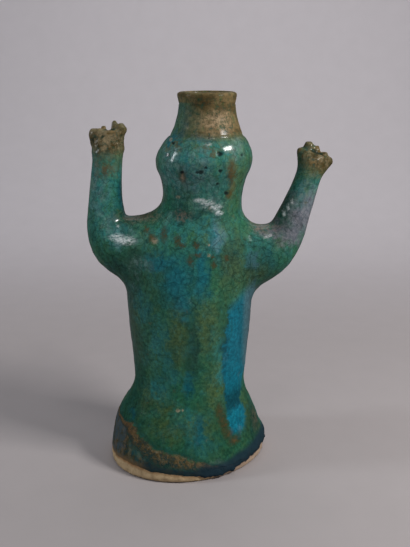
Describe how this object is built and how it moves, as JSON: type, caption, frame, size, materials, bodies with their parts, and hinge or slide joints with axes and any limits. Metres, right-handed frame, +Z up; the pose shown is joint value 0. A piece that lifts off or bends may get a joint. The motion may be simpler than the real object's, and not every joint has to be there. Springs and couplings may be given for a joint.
{
  "type": "glazed pottery figurine",
  "caption": "Hollow bottle-bodied standing figurine with both arms raised, a tall open cap with a rolled rim, and a flared foot.",
  "frame": {"origin": "middle of the flat underside of the foot", "axes": "+Z up from the underside to the rim, +Y the way the figure faces, +X the figure's right hand"},
  "size_m": [0.1432, 0.0884, 0.22],
  "materials": {
    "glazed_clay": "glossy crazed turquoise glaze with olive and brown patches over a buff body, bare at the foot"
  },
  "bodies": {
    "root": {"figurine": "glazed_clay"}
  },
  "joints": []
}
